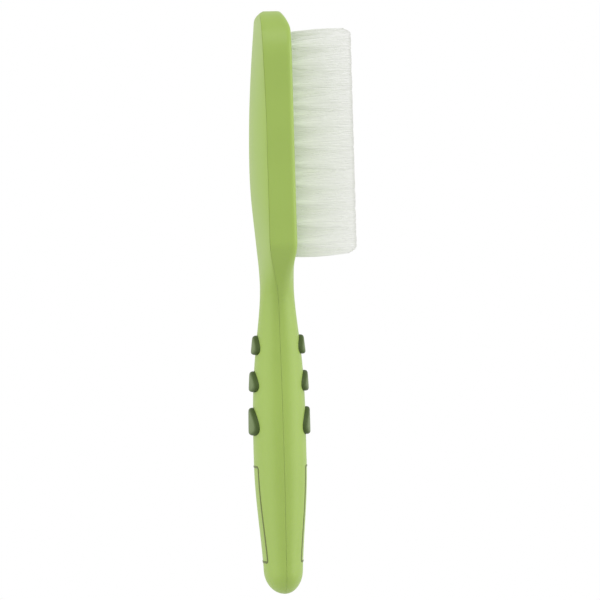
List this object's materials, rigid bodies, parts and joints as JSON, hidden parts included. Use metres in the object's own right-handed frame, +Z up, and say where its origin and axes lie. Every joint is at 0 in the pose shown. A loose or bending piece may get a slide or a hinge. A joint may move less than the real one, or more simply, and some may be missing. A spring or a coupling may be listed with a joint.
{
  "type": "pet grooming brush",
  "caption": "Hand-held pet brush with a moulded shell handle, domed rectangular head, soft grip pads and upright nylon bristle tufts held by wire anchors.",
  "frame": {"origin": "centre of the bounding box at its base, where the brush lies on its crown and lowest back grip pad", "axes": "+X along the brush from the handle end to the head end, +Z up, the way the bristles point, +Y across the width"},
  "size_m": [0.152, 0.038, 0.0271],
  "materials": {
    "shell": "satin lime green moulded plastic",
    "bristle": "translucent off-white nylon filament",
    "anchor": "flat drawn wire",
    "grip": "matt dark green elastomer",
    "inlay": "matt dark green elastomer line"
  },
  "bodies": {
    "root": {"front_shell": "shell", "rear_shell": "shell", "tuft_row_01": "bristle", "tuft_row_02": "bristle", "tuft_row_03": "bristle", "tuft_row_04": "bristle", "tuft_row_05": "bristle", "tuft_row_06": "bristle", "tuft_row_07": "bristle", "tuft_row_08": "bristle", "tuft_row_09": "bristle", "tuft_row_10": "bristle", "tuft_row_11": "bristle", "tuft_row_12": "bristle", "anchor_row_01": "anchor", "anchor_row_02": "anchor", "anchor_row_03": "anchor", "anchor_row_04": "anchor", "anchor_row_05": "anchor", "anchor_row_06": "anchor", "anchor_row_07": "anchor", "anchor_row_08": "anchor", "anchor_row_09": "anchor", "anchor_row_10": "anchor", "anchor_row_11": "anchor", "anchor_row_12": "anchor", "pad_front_1": "grip", "pad_front_2": "grip", "pad_front_3": "grip", "pad_back_1": "grip", "pad_back_2": "grip", "pad_back_3": "grip", "frame_front": "inlay", "frame_back": "inlay"}
  },
  "joints": []
}
